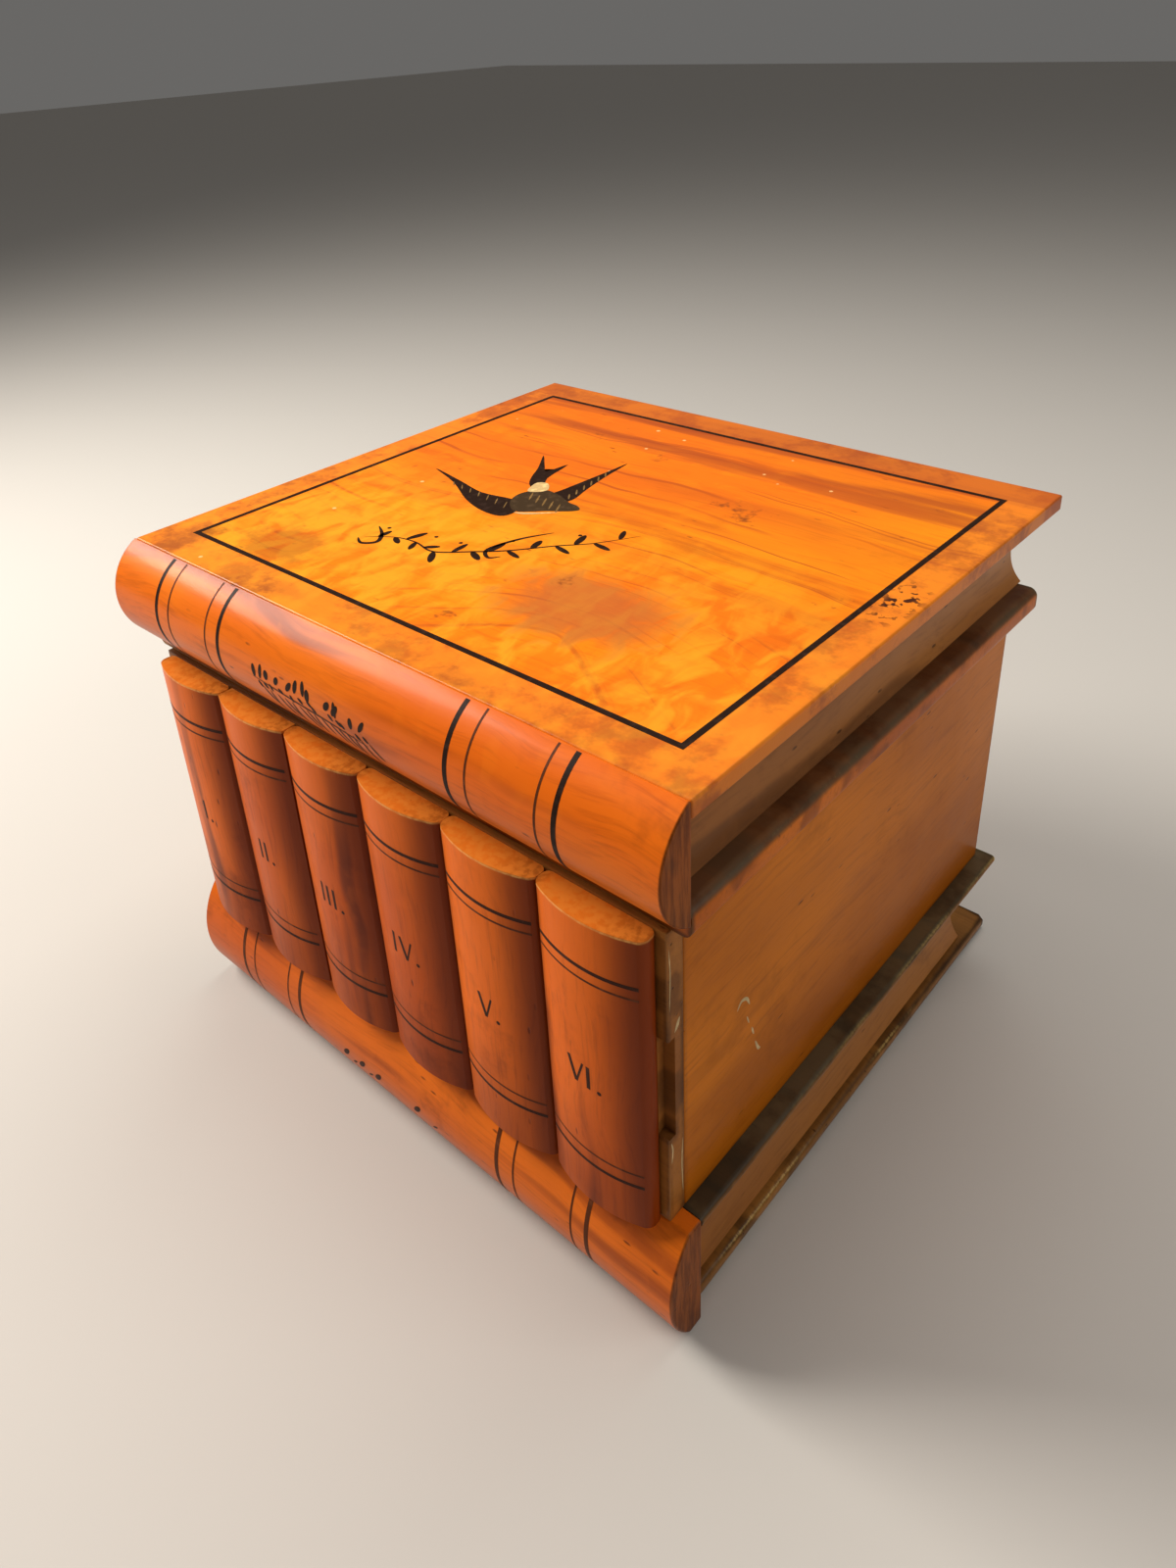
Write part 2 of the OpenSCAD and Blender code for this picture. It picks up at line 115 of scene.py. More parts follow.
class Nodes:
    """Builds one material: each method adds shader nodes and gives the socket that they end in."""

    def __init__(self, name):
        self.material = bpy.data.materials.new(name)
        self.material.use_nodes = True
        self.tree = self.material.node_tree
        self.shader = self.tree.nodes["Principled BSDF"]
        self.coords = self.tree.nodes.new("ShaderNodeTexCoord").outputs["Object"]

    def put(self, socket, value):
        """Links the value if it is a socket, and otherwise sets it; a colour gets full alpha."""
        if isinstance(value, bpy.types.NodeSocket):
            self.tree.links.new(value, socket)
        elif isinstance(value, tuple) and len(value) == 3 and socket.type == "RGBA":
            socket.default_value = (*value, 1)
        else:
            socket.default_value = value

    def math(self, kind, a, b=0.0, c=0.0, clamp=False):
        node = self.tree.nodes.new("ShaderNodeMath")
        node.operation = kind
        node.use_clamp = clamp
        for socket, value in zip(node.inputs, (a, b, c)):
            self.put(socket, value)
        return node.outputs[0]

    def times(self, a, b):
        return self.math("MULTIPLY", a, b)

    def ragged(self, value, noise, reach):
        """A value that a noise moves up or down by as much as half the reach."""
        return self.math("ADD", value, self.times(self.math("SUBTRACT", noise, 0.5), reach))

    def split(self, vector):
        node = self.tree.nodes.new("ShaderNodeSeparateXYZ")
        self.put(node.inputs[0], vector)
        return node.outputs

    def join(self, x, y, z):
        node = self.tree.nodes.new("ShaderNodeCombineXYZ")
        for socket, value in zip(node.inputs, (x, y, z)):
            self.put(socket, value)
        return node.outputs[0]

    def scaled(self, vector, scale, offset=(0, 0, 0), turn=(0, 0, 0)):
        node = self.tree.nodes.new("ShaderNodeMapping")
        self.put(node.inputs["Vector"], vector)
        node.inputs["Scale"].default_value = scale
        node.inputs["Location"].default_value = offset
        node.inputs["Rotation"].default_value = turn
        return node.outputs[0]

    def noise(self, vector, scale=1.0, detail=3.0, rough=0.5, warp=0.0):
        node = self.tree.nodes.new("ShaderNodeTexNoise")
        self.put(node.inputs["Vector"], vector)
        node.inputs["Scale"].default_value = scale
        node.inputs["Detail"].default_value = detail
        node.inputs["Roughness"].default_value = rough
        node.inputs["Distortion"].default_value = warp
        return node.outputs["Fac"]

    def cells(self, vector, scale=1.0):
        node = self.tree.nodes.new("ShaderNodeTexVoronoi")
        self.put(node.inputs["Vector"], vector)
        node.inputs["Scale"].default_value = scale
        return node.outputs["Distance"]

    def band(self, value, low, high):
        """0 below low, 1 above high, smooth between; swap them to fall instead."""
        node = self.tree.nodes.new("ShaderNodeMapRange")
        node.interpolation_type = "SMOOTHSTEP"
        rising = high > low
        self.put(node.inputs["Value"], value)
        node.inputs["From Min"].default_value = min(low, high)
        node.inputs["From Max"].default_value = max(low, high)
        node.inputs["To Min"].default_value = 0 if rising else 1
        node.inputs["To Max"].default_value = 1 if rising else 0
        return node.outputs[0]

    def mix(self, amount, a, b):
        node = self.tree.nodes.new("ShaderNodeMix")
        node.data_type = "RGBA"
        node.clamp_factor = True
        self.put(node.inputs["Factor"], amount)
        self.put(node.inputs[6], a)
        self.put(node.inputs[7], b)
        return node.outputs[2]

    def cover(self, colour, other, where, amount):
        """Lays another colour over the first, as strongly as a mask times an amount says."""
        return self.mix(self.times(where, amount), colour, other)

    def near(self, centre, size):
        """1 at a point and 0 at an ellipsoid of the given half sizes around it."""
        vector = self.tree.nodes.new("ShaderNodeVectorMath")
        vector.operation = "SUBTRACT"
        self.put(vector.inputs[0], self.coords)
        vector.inputs[1].default_value = centre
        shrink = self.tree.nodes.new("ShaderNodeVectorMath")
        shrink.operation = "DIVIDE"
        self.put(shrink.inputs[0], vector.outputs[0])
        shrink.inputs[1].default_value = size
        length = self.tree.nodes.new("ShaderNodeVectorMath")
        length.operation = "LENGTH"
        self.put(length.inputs[0], shrink.outputs[0])
        return self.math("SUBTRACT", 1.0, length.outputs["Value"], clamp=True)

    def edge_distance(self, low, high):
        """Distance from a point on a box's surface to the box's nearest edge."""
        x, y, z = self.split(self.coords)
        gaps = []
        for value, a, b in zip((x, y, z), low, high):
            from_low = self.math("SUBTRACT", value, a)
            from_high = self.math("SUBTRACT", b, value)
            gaps.append(self.math("MINIMUM", from_low, from_high))
        smaller = self.math("MINIMUM", gaps[0], gaps[1])
        larger = self.math("MAXIMUM", gaps[0], gaps[1])
        return self.math("MAXIMUM", smaller, self.math("MINIMUM", larger, gaps[2]))

    def bump(self, height, distance):
        node = self.tree.nodes.new("ShaderNodeBump")
        node.inputs["Strength"].default_value = 1.0
        node.inputs["Distance"].default_value = distance
        self.put(node.inputs["Height"], height)
        return node.outputs[0]

    def finish(self, colour, rough, height=None, depth=0.05 * MM, coat=0.0, metal=0.0):
        """Connects the shader and gives the material; depth is how deep the height's bump is."""
        self.shader.inputs["Specular IOR Level"].default_value = SPECULAR_LEVEL
        self.shader.inputs["Coat IOR"].default_value = COAT_IOR
        self.put(self.shader.inputs["Base Color"], colour)
        self.put(self.shader.inputs["Roughness"], rough)
        self.shader.inputs["Metallic"].default_value = metal
        self.shader.inputs["Coat Weight"].default_value = coat
        self.shader.inputs["Coat Roughness"].default_value = COAT_ROUGHNESS
        if height is not None:
            self.put(self.shader.inputs["Normal"], self.bump(height, depth))
        return self.material


# ---------------------------------------------------------------- wood

# Light, mid and dark tones of each wood
LID_TONES = ((0.95, 0.275, 0.004), (0.91, 0.185, 0.004), (0.46, 0.070, 0.004))
SPINE_TONES = ((0.92, 0.21, 0.008), (0.80, 0.14, 0.005), (0.26, 0.034, 0.003))
BASE_TONES = ((0.80, 0.165, 0.008), (0.62, 0.105, 0.005), (0.24, 0.032, 0.003))
BOOK_TONES = ((0.84, 0.155, 0.004), (0.58, 0.088, 0.002), (0.13, 0.016, 0.002))
SIDE_TONES = ((0.64, 0.18, 0.004), (0.42, 0.108, 0.002), (0.18, 0.040, 0.002))
# The ledges' olive grey is partly a painted dark green reflection
LEDGE_TONES = ((0.38, 0.165, 0.036), (0.22, 0.092, 0.022), (0.05, 0.024, 0.010))
RIM_TONES = ((0.62, 0.155, 0.008), (0.42, 0.092, 0.005), (0.16, 0.034, 0.003))
PAGE_TONES = ((0.40, 0.15, 0.03), (0.29, 0.10, 0.02), (0.09, 0.03, 0.008))
BARE_TONES = ((0.58, 0.36, 0.17), (0.48, 0.28, 0.12), (0.28, 0.14, 0.05))

# Pale edge of the cover boards: wear, and a painted highlight on the lit arris
WORN_AND_LIT_EDGE = (0.66, 0.42, 0.12)
# Dark grey-green tops of the cover boards: soot, and a painted dark reflection
SOOT_AND_REFLECTION_BROWN = (0.085, 0.070, 0.040)
SOOT_AND_REFLECTION_BLACK = (0.030, 0.028, 0.018)
END_GRAIN_DARK = (0.05, 0.016, 0.004)
END_GRAIN_LIGHT = (0.20, 0.060, 0.010)
# Painted light on the books' top faces, and wear with a painted highlight along their top rims
BOOK_TOP_PAINTED_LIGHT = (0.86, 0.27, 0.035)
BOOK_RIM_WEAR_AND_HIGHLIGHT = (0.95, 0.46, 0.12)

# Colours of the figure and the wear on the lid's panel
STREAK = (0.42, 0.070, 0.008)
BLUSH = (0.66, 0.115, 0.005)
BROAD_STREAK = (0.36, 0.060, 0.010)
YELLOW_CURL = (0.97, 0.42, 0.02)
BROWN_RIPPLE = (0.74, 0.15, 0.006)
STAIN = (0.46, 0.11, 0.026)
GRIME = (0.20, 0.040, 0.008)
BOARD_EDGE = (0.24, 0.070, 0.018)
BORDER_BRIGHT = (0.86, 0.24, 0.02)
BORDER_DULL = (0.42, 0.095, 0.018)
BACK_STRIP = (0.44, 0.085, 0.014)
CHIP = (0.95, 0.62, 0.26)
SPECK = (0.06, 0.015, 0.006)

# Centre and half size, as (x, y), of what lies in one place on the lid
SWEPT_AT = ((0.030, -0.045), (0.075, 0.060))
STAIN_AT = ((0.027, -0.032), (0.030, 0.020))
SPECKS_AT = ((0.0750, 0.006), (0.006, 0.015))
# The same for each patch of grime, with its strength
GRIME_SPOTS = (((-0.072, -0.060), (0.012, 0.012), 0.7), ((-0.076, -0.020), (0.006, 0.040), 0.5),
               ((-0.048, -0.050), (0.020, 0.012), 0.45), ((-0.028, -0.063), (0.016, 0.006), 0.7),
               ((0.026, -0.065), (0.012, 0.004), 0.5), ((-0.060, 0.070), (0.020, 0.006), 0.6),
               ((0.030, 0.072), (0.040, 0.005), 0.6))


def stretched(axis, share):
    """A scale that draws a pattern out along one axis, so that it reads as wood grain."""
    return tuple(share if name == axis else 1 for name in "xyz")


def darker(colour, share):
    return tuple(share * channel for channel in colour)


def wood(name, light, mid, dark, grain="x", seed=0.0, box=None, wear=0.5, line=0.6, coat=0.2,
         rough=0.36, dirt=0.4, figure=0.5, end_grain=None, rub=None, foot=None, grimy_above=None):
    """Lacquered olive wood: its nodes, colour, roughness, bump height and coat.

    Clouds, growth lines, fibre, pores and dirt always show. A box gets worn edges, in the colour
    given for rubbing; the cover boards' pale edge colour is wear and a painted highlight on the lit
    arris as well. End_grain is the x past which the ends show. Foot is the two heights between which
    the dark tone grows downwards, which on the round spines is painted shade. Above the last height
    given, the top is dark grey-green: soot, and a painted dark reflection as well.
    """
    n = Nodes(name)
    shifted = n.scaled(n.coords, (1, 1, 1), offset=(seed, seed * 0.7, seed * 1.3))
    wander = n.noise(shifted, scale=18, detail=2)
    bent = n.tree.nodes.new("ShaderNodeVectorMath")
    bent.operation = "MULTIPLY_ADD"
    n.put(bent.inputs[0], n.join(wander, wander, wander))
    bent.inputs[1].default_value = (12 * MM, 12 * MM, 12 * MM)
    n.put(bent.inputs[2], shifted)
    along = n.scaled(bent.outputs[0], stretched(grain, 0.06))
    clouds = n.noise(n.scaled(shifted, stretched(grain, 0.35)), scale=25, detail=3)
    fibre = n.noise(along, scale=900, detail=3, rough=0.7)
    growth = n.noise(along, scale=110, detail=2, rough=0.45)
    curl = n.noise(shifted, scale=140, detail=2, warp=0.6)
    grime = n.noise(shifted, scale=45, detail=5, rough=0.65)
    pores = n.cells(n.scaled(shifted, stretched(grain, 0.3)), scale=420)
    pore_field = n.noise(shifted, scale=60, detail=1)
    specks = n.times(n.band(pores, 0.16, 0.07), n.band(pore_field, 0.52, 0.62))

    colour = n.mix(n.band(clouds, 0.34, 0.68), mid, light)
    colour = n.cover(colour, dark, n.band(growth, 0.56, 0.68), line)
    colour = n.cover(colour, light, n.band(curl, 0.52, 0.7), 0.35 * figure)
    colour = n.cover(colour, dark, n.band(fibre, 0.45, 0.75), 0.30)
    colour = n.cover(colour, darker(dark, 0.25), specks, 0.7)
    colour = n.cover(colour, darker(dark, 0.5), n.band(grime, 0.55, 0.8), dirt)
    if box:
        edge = n.edge_distance(*box)
        dirty = n.band(n.ragged(edge, grime, 2.4 * MM), 1.3 * MM, 0.1 * MM)
        colour = n.cover(colour, darker(dark, 0.45), dirty, wear)
        # Pale rubbed edges: wear; with the boards' pale edge colour this is also a painted highlight on the
        # lit arris
        rubbed = n.band(n.ragged(edge, fibre, 1.2 * MM), 0.8 * MM, 0.2 * MM)
        colour = n.cover(colour, rub or light, n.times(rubbed, n.band(clouds, 0.4, 0.6)), wear)
    # The top above this height is dark grey-green: soot, and a painted dark reflection as well
    if grimy_above:
        shelf = n.band(n.split(n.coords)[2], grimy_above - 0.5 * MM, grimy_above + 0.5 * MM)
        soot_and_reflection = n.mix(n.band(grime, 0.42, 0.60), SOOT_AND_REFLECTION_BROWN, SOOT_AND_REFLECTION_BLACK)
        colour = n.cover(colour, soot_and_reflection, shelf, 0.8)
    # Darker towards the bottom; on the round spines this is painted shade on the half that faces down
    if foot:
        low = n.band(n.ragged(n.split(n.coords)[2], grime, 14 * MM), *foot)
        colour = n.cover(colour, dark, low, 0.5)
    if end_grain:
        from_middle = n.math("ABSOLUTE", n.split(n.coords)[0])
        rays = n.noise(n.scaled(n.coords, (1, 1, 0.08)), scale=900, detail=3, rough=0.7)
        end_colour = n.mix(n.band(rays, 0.38, 0.62), END_GRAIN_DARK, END_GRAIN_LIGHT)
        past = n.band(from_middle, end_grain - 0.6 * MM, end_grain - 0.1 * MM)
        colour = n.cover(colour, end_colour, past, 0.85)
    gloss = n.math("MULTIPLY_ADD", grime, 0.25, rough - 0.1)
    height = n.math("ADD", n.times(fibre, 0.5), n.times(specks, -1.0))
    height = n.math("ADD", height, n.times(wander, 3.0))
    return n, colour, gloss, height, coat


def wood_material(*args, **kwargs):
    """A finished material from wood(), with the same arguments."""
    n, colour, gloss, height, coat = wood(*args, **kwargs)
    return n.finish(colour, gloss, height, coat=coat)


def on_lid(n, place, size):
    """1 at a place on the lid's top and 0 at an ellipse of the given half sizes around it."""
    return n.near((*place, TOP_Z), (*size, 1))


def lid_streaks(n, colour, soft):
    """Growth lines swept round the stain, soft red streaks, and broad brown ones at the back."""
    y = n.split(n.coords)[1]
    field = n.math("SUBTRACT", y, n.times(on_lid(n, *SWEPT_AT), 0.045))
    field = n.math("ADD", field, n.times(soft, 0.022))
    rings = n.noise(n.join(field, 0.0, 0.0), scale=300, detail=3, rough=0.6)
    fade = n.noise(n.scaled(n.coords, (1, 3, 1)), scale=22, detail=2)
    streak = n.times(n.band(rings, 0.52, 0.64), n.band(fade, 0.40, 0.58))
    stronger_behind = n.math("MULTIPLY_ADD", n.band(y, -0.02, 0.03), 0.25, 0.6)
    colour = n.cover(colour, STREAK, streak, stronger_behind)
    blush = n.noise(n.scaled(n.coords, (0.2, 1.4, 1), turn=(0, 0, 0.05)), scale=42, detail=4, warp=0.4)
    colour = n.cover(colour, BLUSH, n.band(blush, 0.48, 0.64), 0.42)
    broad = n.noise(n.scaled(n.coords, (0.14, 1.6, 1), turn=(0, 0, -0.03)), scale=70, detail=4)
    broad = n.times(n.band(broad, 0.46, 0.60), n.band(y, 0.012, 0.058))
    return n.cover(colour, BROAD_STREAK, broad, 0.7)


def lid_curl(n, colour, soft):
    """Yellow curl with a brown ripple in the front half, and a mauve-brown stain."""
    front = n.band(n.split(n.coords)[1], 0.02, -0.035)
    curl = n.noise(n.scaled(n.coords, (1.4, 0.8, 1), turn=(0, 0, 0.5)), scale=120, detail=4, warp=0.8)
    shine = n.band(n.math("ADD", curl, n.times(soft, 0.6)), 0.66, 0.94)
    colour = n.cover(colour, YELLOW_CURL, n.times(shine, front), 0.6)
    ripple = n.noise(n.scaled(n.coords, (2.2, 0.7, 1), turn=(0, 0, -0.4)), scale=150, detail=2, warp=0.5)
    colour = n.cover(colour, BROWN_RIPPLE, n.times(n.band(ripple, 0.5, 0.7), front), 0.3)
    stain = n.ragged(on_lid(n, *STAIN_AT), curl, 0.9)
    return n.cover(colour, STAIN, n.band(stain, 0.15, 0.6), 0.7)


def lid_wear(n, colour):
    """Grime, brown edges below the rim, a dull border outside the stringing, chips and specks."""
    x, y, z = n.split(n.coords)
    mottled = n.noise(n.coords, scale=55, detail=5, rough=0.7)
    for place, size, strength in GRIME_SPOTS:
        patch = n.ragged(on_lid(n, place, size), mottled, 2.0)
        colour = n.cover(colour, GRIME, n.band(patch, 0.25, 0.7), strength)
    colour = n.cover(colour, BOARD_EDGE, n.band(z, TOP_Z - 0.5 * MM, TOP_Z - 0.9 * MM), 0.75)
    past_side = n.math("SUBTRACT", n.math("ABSOLUTE", x), STRING[1][0])
    past_front = n.math("SUBTRACT", STRING[0][1], y)
    past_back = n.math("SUBTRACT", y, STRING[1][1])
    past_any = n.math("MAXIMUM", past_side, n.math("MAXIMUM", past_front, past_back))
    border = n.mix(n.band(mottled, 0.44, 0.62), BORDER_BRIGHT, BORDER_DULL)
    colour = n.cover(colour, border, n.band(past_any, -0.2 * MM, 0.2 * MM), 0.65)
    colour = n.cover(colour, BACK_STRIP, n.band(past_back, -0.1 * MM, 0.4 * MM), 0.5)
    chip_field = n.band(n.noise(n.coords, scale=30, detail=1), 0.56, 0.60)
    chips = n.times(n.band(n.cells(n.coords, scale=110), 0.075, 0.05), chip_field)
    colour = n.cover(colour, CHIP, chips, 0.7)
    dots = n.band(n.noise(n.coords, scale=520, detail=2), 0.54, 0.60)
    return n.cover(colour, SPECK, dots, n.band(on_lid(n, *SPECKS_AT), 0.05, 0.7))


def top_material():
    """The lid's figured panel."""
    n, colour, gloss, height, coat = wood(
        "lid_top_wood", *LID_TONES, seed=0.4, box=LID, wear=0.6, line=0.45, coat=0.3, dirt=0.25,
        rough=0.34, figure=0.9)
    soft = n.noise(n.coords, scale=14, detail=3)
    colour = lid_streaks(n, colour, soft)
    colour = lid_curl(n, colour, soft)
    colour = lid_wear(n, colour)
    return n.finish(colour, gloss, height, coat=coat)


def book_material(node, seed):
    """Brown wood, lighter towards the top and darker towards the foot, with painted light on the top face
    and painted shade in the valleys between the books and down each right flank.
    """
    low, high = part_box(node)
    light, mid, dark = BOOK_TONES
    n, colour, gloss, height, coat = wood(
        node + "_wood", light, mid, dark, grain="z", seed=seed, coat=0.05, line=0.8, dirt=0.6)
    x, y, z = n.split(n.coords)
    # Painted shade: darker down each book's right flank, away from the light, and in the valley at its left
    # edge; the foot is darker as well
    right = n.times(n.band(x, high[0] - 11 * MM, high[0] - 0.5 * MM), 0.85)
    left = n.times(n.band(x, low[0] + 2.5 * MM, low[0]), 0.85)
    foot = n.times(n.band(z, low[2] + 34 * MM, low[2]), 0.5)
    shade = n.math("MAXIMUM", n.math("MAXIMUM", right, left), foot)
    colour = n.cover(colour, light, n.band(z, high[2] - 26 * MM, high[2] - 2 * MM), 0.6)
    colour = n.mix(shade, colour, dark)
    mottled = n.noise(n.coords, scale=700, detail=4)
    # Painted light: the top face is lit pale, in patches
    top_face = n.band(z, high[2] - 0.5 * MM, high[2] - 0.1 * MM)
    patchy = n.math("MULTIPLY_ADD", n.band(mottled, 0.35, 0.6), 0.4, 0.4)
    colour = n.cover(colour, BOOK_TOP_PAINTED_LIGHT, top_face, patchy)
    # A pale rim just below the top: rubbing wear, and a painted highlight on the top edge
    above = n.band(z, high[2] - 0.7 * MM, high[2] - 0.4 * MM)
    below = n.band(z, high[2] - 0.02 * MM, high[2] - 0.2 * MM)
    rubbed = n.math("MULTIPLY_ADD", n.band(mottled, 0.4, 0.6), 0.4, 0.3)
    colour = n.cover(colour, BOOK_RIM_WEAR_AND_HIGHLIGHT, n.times(above, below), rubbed)
    return n.finish(colour, gloss, height, coat=coat)


# ---------------------------------------------------------------- other materials

def metal_material(name, colour, tarnish, rough):
    """Old metal, clouded with tarnish and finely brushed."""
    n = Nodes(name)
    cloud = n.noise(n.coords, scale=220, detail=4)
    brush = n.noise(n.scaled(n.coords, (1, 0.05, 1)), scale=2500, detail=2)
    tint = n.mix(n.band(cloud, 0.42, 0.68), colour, tarnish)
    gloss = n.math("MULTIPLY_ADD", cloud, 0.3, rough - 0.1)
    return n.finish(tint, gloss, brush, depth=0.02 * MM, metal=1.0)


def cloth_material(name, colour, dark):
    """Woven cloth with a soft sheen and faded clouds."""
    n = Nodes(name)
    weave_x = n.noise(n.scaled(n.coords, (1, 0.15, 1)), scale=3000, detail=1)
    weave_y = n.noise(n.scaled(n.coords, (0.15, 1, 1)), scale=3000, detail=1)
    weave = n.math("MAXIMUM", weave_x, weave_y)
    cloud = n.noise(n.coords, scale=40, detail=3)
    tint = n.mix(n.band(weave, 0.45, 0.7), dark, colour)
    tint = n.cover(tint, dark, n.band(cloud, 0.5, 0.75), 0.4)
    n.shader.inputs["Sheen Weight"].default_value = 0.35
    return n.finish(tint, 0.9, weave, depth=0.08 * MM)


def paint_material(name, colour, rough=0.5):
    """Old paint or ink that has worn paler in spots."""
    n = Nodes(name)
    worn = n.noise(n.coords, scale=500, detail=3)
    paler = tuple(channel * 2.2 + 0.01 for channel in colour)
    tint = n.cover(colour, paler, n.band(worn, 0.5, 0.72), 0.5)
    return n.finish(tint, rough, worn, depth=0.02 * MM)


# ---------------------------------------------------------------- mesh helpers

# Points closer than this are one point, and edges flatter than this vanish
WELD = 0.002 * MM
FLAT_ANGLE = math.radians(1)
# Edges sharper than this are rounded, and those still sharper than the next stay creased
SHARP_ANGLE = math.radians(40)
CREASE_ANGLE = math.radians(35)
# How close to a face of the node's box counts as on it
ON_BOX = 0.02 * MM


def link_mesh(name, mesh, material, body):
    """A new piece that rides on a body and takes its finish from a material slot."""
    piece = bpy.data.objects.new(name, mesh)
    bpy.context.scene.collection.objects.link(piece)
    mesh.materials.clear()
    mesh.materials.append(material)
    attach(piece, body)
    return piece


def body_of_node(node):
    for body, nodes in frame["record"]["behaviour"]["bodies"].items():
        if node in nodes:
            return body
    raise KeyError(node)


def sharp_edges(b, box, box_edges_only):
    """The mesh's sharp outward edges, or only those of them that lie on an edge of the box."""
    found = []
    for edge in b.edges:
        if len(edge.link_faces) != 2 or edge.calc_face_angle_signed(0) < SHARP_ANGLE:
            continue
        middle = (edge.verts[0].co + edge.verts[1].co) / 2
        touching = sum(min(abs(value - low), abs(value - high)) < ON_BOX
                       for value, low, high in zip(middle, *box))
        if not box_edges_only or touching >= 2:
            found.append(edge)
    return found


def runs_along(edge, axis):
    run = edge.verts[1].co - edge.verts[0].co
    return axis is not None and abs(run[axis]) > 0.99 * run.length


def softened(node, material, width, box_edges_only=False, special=(None, 0)):
    """Replaces a CAD node with a copy whose sharp edges are rounded to a width.

    Special is an axis, and the width of the edges that run along it.
    """
    mesh = frame["nodes"][node].data.copy()
    b = bmesh.new()
    b.from_mesh(mesh)
    bmesh.ops.remove_doubles(b, verts=b.verts, dist=WELD)
    bmesh.ops.dissolve_limit(b, angle_limit=FLAT_ANGLE, verts=b.verts, edges=b.edges)
    axis, axis_width = special
    for chosen, offset, segments in ((True, axis_width, 5), (False, width, 3)):
        sharp = sharp_edges(b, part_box(node), box_edges_only)
        group = [edge for edge in sharp if runs_along(edge, axis) == chosen]
        if group:
            bmesh.ops.bevel(b, geom=group, offset=offset, segments=segments, profile=0.5,
                            affect="EDGES", clamp_overlap=True, loop_slide=True)
    for face in b.faces:
        face.smooth = True
    for edge in b.edges:
        edge.smooth = len(edge.link_faces) != 2 or edge.calc_face_angle(0) < CREASE_ANGLE
    b.to_mesh(mesh)
    b.free()
    mesh.name = node + "_soft"
    piece = link_mesh(node + "_soft", mesh, material, body_of_node(node))
    weighted = piece.modifiers.new("weighted", "WEIGHTED_NORMAL")
    weighted.keep_sharp = True
    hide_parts(node)


def wooden(node, tones, rounding, box_edges_only=False, special=(None, 0), **look):
    """Replaces a CAD node with a rounded copy in its own wood; look holds wood()'s options."""
    material = wood_material(node + "_wood", *tones, **look)
    softened(node, material, rounding, box_edges_only, special)


def coat_nodes(nodes, material):
    """Gives CAD nodes a material and leaves their shape alone."""
    for node in nodes:
        data = frame["nodes"][node].data
        data.materials.clear()
        data.materials.append(material)


# ---------------------------------------------------------------- painted decoration

# How far paint stands off the wood
PAINT_LIFT = 0.03 * MM


def smooth_path(points, steps, closed=False):
    """Points along a Catmull-Rom curve through the given points."""
    count = len(points)
    path = []
    spans = count if closed else count - 1
    for i in range(spans):
        around = range(i - 1, i + 3)
        if closed:
            picked = [points[k % count] for k in around]
        else:
            picked = [points[min(max(k, 0), count - 1)] for k in around]
        p0, p1, p2, p3 = (Vector(p) for p in picked)
        for step in range(steps):
            t = step / steps
            path.append(0.5 * (2 * p1 + (p2 - p0) * t + (2 * p0 - 5 * p1 + 4 * p2 - p3) * t * t
                               + (3 * p1 - p0 - 3 * p2 + p3) * t ** 3))
    if not closed:
        path.append(Vector(points[-1]))
    return path


class Decor:
    """Flat painted shapes in millimetres, laid on a surface given by a function of (u, v)."""

    def __init__(self, surface):
        self.surface = surface
        self.bm = bmesh.new()

    def stroke(self, points, width, taper=True, steps=6):
        """A line of the given width through the points; a tapering one is thin at both ends."""
        path = smooth_path(points, steps)
        last = len(path) - 1
        pairs = []
        for i, point in enumerate(path):
            ahead = path[min(i + 1, last)] - path[max(i - 1, 0)]
            side = Vector((-ahead.y, ahead.x)).normalized() if ahead.length else Vector((0, 1))
            share = math.sin(math.pi * i / last) ** 0.6 if taper else 1
            half = side * (width / 2 * max(share, 0.12))
            pairs.append([self.bm.verts.new(self.surface(*(point + half))),
                          self.bm.verts.new(self.surface(*(point - half)))])
        for a, b in zip(pairs, pairs[1:]):
            self.bm.faces.new((a[0], a[1], b[1], b[0]))

    def shape(self, points, steps=4):
        """A filled shape with a smooth outline through the points."""
        path = smooth_path(points, steps, closed=True)
        self.bm.faces.new([self.bm.verts.new(self.surface(*point)) for point in path])

    def dot(self, u, v, radius):
        self.shape([(u + radius * math.cos(k * math.pi / 3), v + radius * math.sin(k * math.pi / 3))
                    for k in range(6)], steps=2)

    def leaf(self, u, v, angle, length, width):
        ax, ay = math.cos(angle) * length, math.sin(angle) * length
        self.stroke([(u, v), (u + ax / 2, v + ay / 2), (u + ax, v + ay)], width)

    def finish(self, name, material, body, slot="stringing"):
        """Turns the shapes into a piece."""
        bmesh.ops.triangulate(self.bm, faces=[f for f in self.bm.faces if len(f.verts) > 4])
        bmesh.ops.recalc_face_normals(self.bm, faces=self.bm.faces)
        mesh = bpy.data.meshes.new(name)
        self.bm.to_mesh(mesh)
        self.bm.free()
        return link_mesh(name, mesh, material, body)


def lid_surface(lift=PAINT_LIFT):
    """The lid's top: u is x and v is y, in millimetres."""
    return lambda u, v: (u * MM, v * MM, TOP_Z + lift)


def spine_surface(axis, radius, lift=PAINT_LIFT):
    """Around a spine: u is x and v is the height above the spine's axis, in millimetres."""
    centre_y, centre_z = axis
    reach = radius + lift

    def place(u, v):
        z = max(-radius, min(radius, v * MM))
        return (u * MM, centre_y - math.sqrt(max(reach * reach - z * z, 0)), centre_z + z)
    return place


def book_surface(centre_x, centre_y, radius):
    """Across a book: u is the distance from its middle line and v is the height, in millimetres."""
    reach = radius + PAINT_LIFT

    def place(u, v):
        return (centre_x + u * MM, centre_y - math.sqrt(reach * reach - (u * MM) ** 2), v * MM)
    return place


